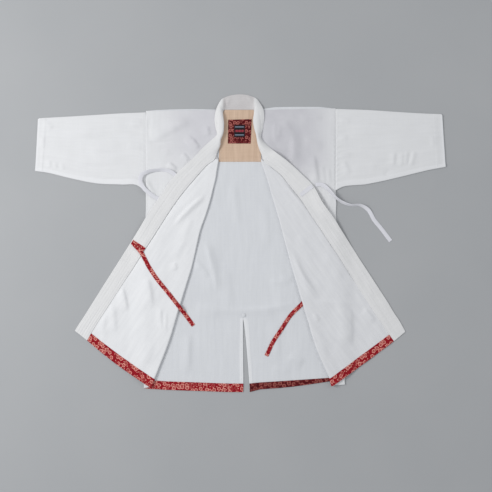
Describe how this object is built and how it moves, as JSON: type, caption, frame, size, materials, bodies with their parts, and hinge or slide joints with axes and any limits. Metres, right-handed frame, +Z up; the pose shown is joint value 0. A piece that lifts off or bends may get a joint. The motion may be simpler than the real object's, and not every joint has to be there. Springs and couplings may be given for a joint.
{
  "type": "kendo gi",
  "caption": "White cotton martial arts jacket laid open on its back, with turned-back fronts, wide sleeves, a collar band, flower-print trims and loose ties.",
  "frame": {"origin": "centre of the bounding box on the floor, under the middle of the back", "axes": "+X from cuff to cuff, towards the wearer's left sleeve, +Y from the hem to the neck, +Z up from the floor that the jacket lies on"},
  "size_m": [1.2902, 0.9361, 0.0183],
  "materials": {
    "white_cotton": "matt white woven cotton, right side",
    "white_inside": "matt white woven cotton, cooler wrong side",
    "white_band": "doubled white cotton with rows of topstitching",
    "white_tape": "flat white cotton tape",
    "beige_cotton": "plain beige cotton facing",
    "red_print": "red cotton with a small pink and cream blossom print",
    "black_label": "woven black label with plain shapes"
  },
  "bodies": {
    "root": {"back": "white_inside", "front_left": "white_cotton", "front_right": "white_cotton", "sleeve_left": "white_cotton", "sleeve_right": "white_cotton", "collar_band": "white_band", "hem_trim_back_left": "red_print", "hem_trim_back_right": "red_print", "hem_trim_front_left": "red_print", "hem_trim_front_right": "red_print", "neck_facing": "beige_cotton", "print_square": "red_print", "label": "black_label", "tie_root_left": "red_print", "tie_root_right": "white_tape", "tie_red_left": "red_print", "tie_red_right": "red_print", "tie_white_left": "white_tape", "tie_white_right": "white_tape"}
  },
  "joints": []
}
